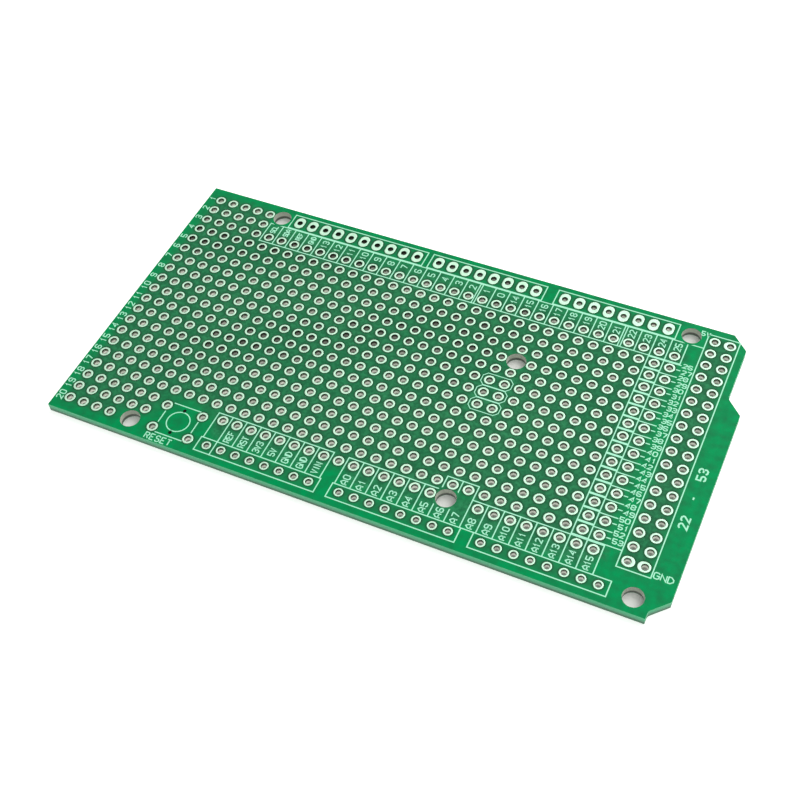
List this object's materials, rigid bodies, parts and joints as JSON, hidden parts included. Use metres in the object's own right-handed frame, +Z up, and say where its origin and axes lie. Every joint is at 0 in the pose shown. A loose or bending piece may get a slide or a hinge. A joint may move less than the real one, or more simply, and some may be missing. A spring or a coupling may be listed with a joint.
{
  "type": "prototyping circuit board",
  "caption": "Bare green circuit board with a notched edge, a dense grid of tinned plated holes, header rows with printed label cells, and mounting holes.",
  "frame": {"origin": "middle of the board's rectangle, on the underside that it rests on", "axes": "+X along the length towards the notched edge, +Y towards the upper header rows, +Z up out of the printed face"},
  "size_m": [0.1016, 0.0534, 0.0016],
  "materials": {
    "glass_epoxy": "routed glass-epoxy edge",
    "solder_mask": "glossy green solder mask",
    "tinned_copper": "bright levelled tin",
    "legend_ink": "screen-printed white ink"
  },
  "bodies": {
    "root": {"laminate": "glass_epoxy", "solder_mask_top": "solder_mask", "solder_mask_bottom": "solder_mask", "grid_pads_left": "tinned_copper", "grid_pads_right": "tinned_copper", "digital_header_pads_low": "tinned_copper", "digital_header_pads_mid": "tinned_copper", "digital_header_pads_high": "tinned_copper", "digital_breakout_pads": "tinned_copper", "power_header_pads": "tinned_copper", "power_breakout_pads": "tinned_copper", "analog_header_pads_a": "tinned_copper", "analog_header_pads_b": "tinned_copper", "analog_breakout_pads_a": "tinned_copper", "analog_breakout_pads_b": "tinned_copper", "double_row_header_pads": "tinned_copper", "side_breakout_pads": "tinned_copper", "programming_pads": "tinned_copper", "button_pads": "tinned_copper", "legend_digital": "legend_ink", "legend_power": "legend_ink", "legend_analog": "legend_ink", "legend_double_row": "legend_ink", "legend_side": "legend_ink", "legend_programming": "legend_ink", "legend_button": "legend_ink"}
  },
  "joints": []
}
